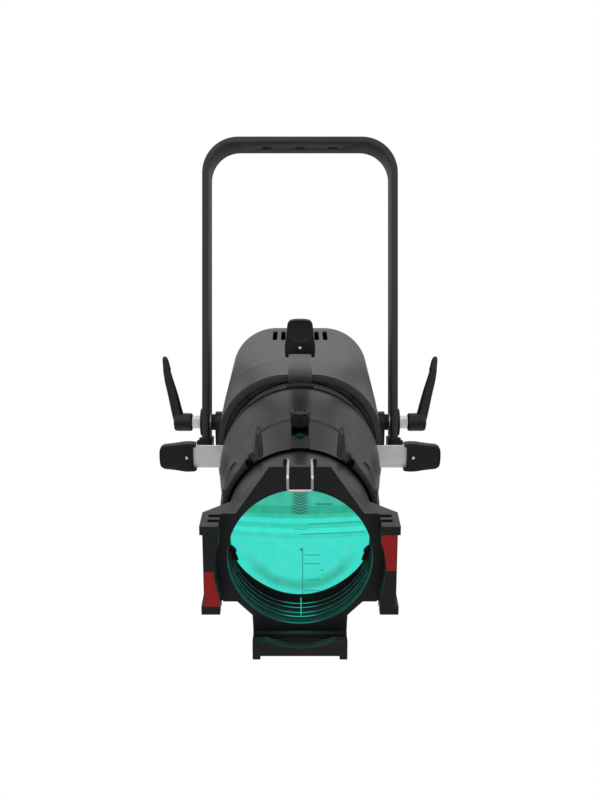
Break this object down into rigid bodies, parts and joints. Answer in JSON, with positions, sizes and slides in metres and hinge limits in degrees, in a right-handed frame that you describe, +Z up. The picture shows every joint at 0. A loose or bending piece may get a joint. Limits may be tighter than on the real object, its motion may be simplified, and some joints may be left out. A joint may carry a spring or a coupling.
{
  "type": "ellipsoidal spotlight",
  "caption": "Ellipsoidal stage spotlight: yoke with clamp levers, LED engine housing, turning barrel with framing shutters, and a sliding lens tube with a colour-frame holder.",
  "frame": {"origin": "centre of the yoke's middle hanging hole, on the bar's top face", "axes": "+Z up along the hanging bolt, +X to the lamp's left as it faces the viewer's right, -Y the way the beam leaves, aimed 16 degrees below the horizontal at rest"},
  "size_m": [0.3586, 0.6758, 0.5691],
  "materials": {
    "yoke_paint": "black powder coat",
    "black_plastic": "matte black moulded plastic",
    "bright_steel": "bright zinc-plated steel",
    "housing_paint": "black satin paint on aluminium",
    "casting_paint": "black satin paint on an aluminium casting",
    "blade_steel": "satin stainless steel",
    "aluminium": "bare aluminium",
    "circuit_board": "green solder mask",
    "emitter": "phosphor and clear resin",
    "lens_glass": "clear coated glass",
    "display_glass": "dark glossy window",
    "socket_blue": "blue moulded plastic",
    "label_red": "satin red film"
  },
  "bodies": {
    "yoke": {"yoke": "yoke_paint", "yoke_end_caps": "black_plastic", "pivot_discs": "black_plastic", "pivot_washers": "black_plastic"},
    "left_lever": {"left_tilt_lever": "black_plastic", "left_clamp_stud": "bright_steel", "left_lever_screw": "bright_steel"},
    "right_lever": {"right_tilt_lever": "black_plastic", "right_clamp_stud": "bright_steel", "right_lever_screw": "bright_steel"},
    "lamp": {"housing_shell": "housing_paint", "front_housing": "housing_paint", "front_bezel": "casting_paint", "bezel_lugs": "casting_paint", "rear_cover": "casting_paint", "rear_panel": "casting_paint", "display_window": "display_glass", "rear_screws": "bright_steel", "pivot_brackets": "casting_paint", "bracket_screws": "bright_steel", "chassis_tray": "aluminium", "heat_sink": "aluminium", "led_board": "circuit_board", "led_array": "emitter", "collimator": "aluminium", "condenser_lens": "lens_glass", "fan_frame": "black_plastic", "power_supply": "aluminium", "control_board": "circuit_board", "power_sockets": "socket_blue", "data_sockets": "bright_steel"},
    "fan": {"fan_rotor": "black_plastic"},
    "menu_key": {"menu_button": "black_plastic"},
    "up_key": {"up_button": "black_plastic"},
    "down_key": {"down_button": "black_plastic"},
    "enter_key": {"enter_button": "black_plastic"},
    "barrel": {"gate_ring": "housing_paint", "barrel_retainer": "aluminium", "barrel_top": "casting_paint", "barrel_bottom": "casting_paint", "barrel_screws": "bright_steel"},
    "top_shutter": {"top_shutter_blade": "blade_steel", "top_shutter_handle": "black_plastic"},
    "bottom_shutter": {"bottom_shutter_blade": "blade_steel", "bottom_shutter_handle": "black_plastic"},
    "left_shutter": {"left_shutter_blade": "blade_steel", "left_shutter_handle": "black_plastic"},
    "right_shutter": {"right_shutter_blade": "blade_steel", "right_shutter_handle": "black_plastic"},
    "lens_tube": {"left_tube_half": "casting_paint", "right_tube_half": "casting_paint", "front_lens": "lens_glass", "rear_lens": "lens_glass", "lens_retainers": "black_plastic", "focus_slider": "black_plastic", "focus_spring": "bright_steel", "grip_labels": "label_red"},
    "focus_knob_body": {"focus_knob": "black_plastic", "focus_stud": "bright_steel"},
    "clip": {"frame_clip": "bright_steel"}
  },
  "joints": [
    {"name": "tilt", "type": "hinge", "parent": "yoke", "child": "lamp", "pos_m": [0, 0, -0.365], "axis": [1, 0, 0], "range_deg": [-60, 80]},
    {"name": "left_lever_turn", "type": "hinge", "parent": "yoke", "child": "left_lever", "pos_m": [0, 0, -0.365], "axis": [1, 0, 0], "range_deg": [-90, 90]},
    {"name": "right_lever_turn", "type": "hinge", "parent": "yoke", "child": "right_lever", "pos_m": [0, 0, -0.365], "axis": [1, 0, 0], "range_deg": [-90, 90]},
    {"name": "barrel_turn", "type": "hinge", "parent": "lamp", "child": "barrel", "pos_m": [0, -0.14928, -0.39948], "axis": [0, -0.9613, -0.2756], "range_deg": [-25, 25]},
    {"name": "top_shutter_slide", "type": "slide", "parent": "barrel", "child": "top_shutter", "axis": [0, 0.2756, -0.9613], "range_m": [0, 0.031]},
    {"name": "bottom_shutter_slide", "type": "slide", "parent": "barrel", "child": "bottom_shutter", "axis": [0, -0.2756, 0.9613], "range_m": [0, 0.031]},
    {"name": "left_shutter_slide", "type": "slide", "parent": "barrel", "child": "left_shutter", "axis": [1, 0, 0], "range_m": [0, 0.031]},
    {"name": "right_shutter_slide", "type": "slide", "parent": "barrel", "child": "right_shutter", "axis": [-1, 0, 0], "range_m": [0, 0.031]},
    {"name": "focus_slide", "type": "slide", "parent": "barrel", "child": "lens_tube", "axis": [0, -0.9613, -0.2756], "range_m": [-0.018, 0.014]},
    {"name": "focus_knob_turn", "type": "hinge", "parent": "lens_tube", "child": "focus_knob_body", "pos_m": [0, -0.32981, -0.35762], "axis": [0, -0.2756, 0.9613], "range_deg": [0, 270]},
    {"name": "clip_swing", "type": "hinge", "parent": "lens_tube", "child": "clip", "pos_m": [0, -0.44035, -0.38932], "axis": [1, 0, 0], "range_deg": [-110, 0]},
    {"name": "fan_spin", "type": "hinge", "parent": "lamp", "child": "fan", "pos_m": [0, 0.04586, -0.34353], "axis": [0, -0.9613, -0.2756], "continuous": true},
    {"name": "menu_press", "type": "slide", "parent": "lamp", "child": "menu_key", "axis": [0, -0.9613, -0.2756], "range_m": [0, 0.0012], "stiffness_N_per_m": 400},
    {"name": "up_press", "type": "slide", "parent": "lamp", "child": "up_key", "axis": [0, -0.9613, -0.2756], "range_m": [0, 0.0012], "stiffness_N_per_m": 400},
    {"name": "down_press", "type": "slide", "parent": "lamp", "child": "down_key", "axis": [0, -0.9613, -0.2756], "range_m": [0, 0.0012], "stiffness_N_per_m": 400},
    {"name": "enter_press", "type": "slide", "parent": "lamp", "child": "enter_key", "axis": [0, -0.9613, -0.2756], "range_m": [0, 0.0012], "stiffness_N_per_m": 400}
  ]
}
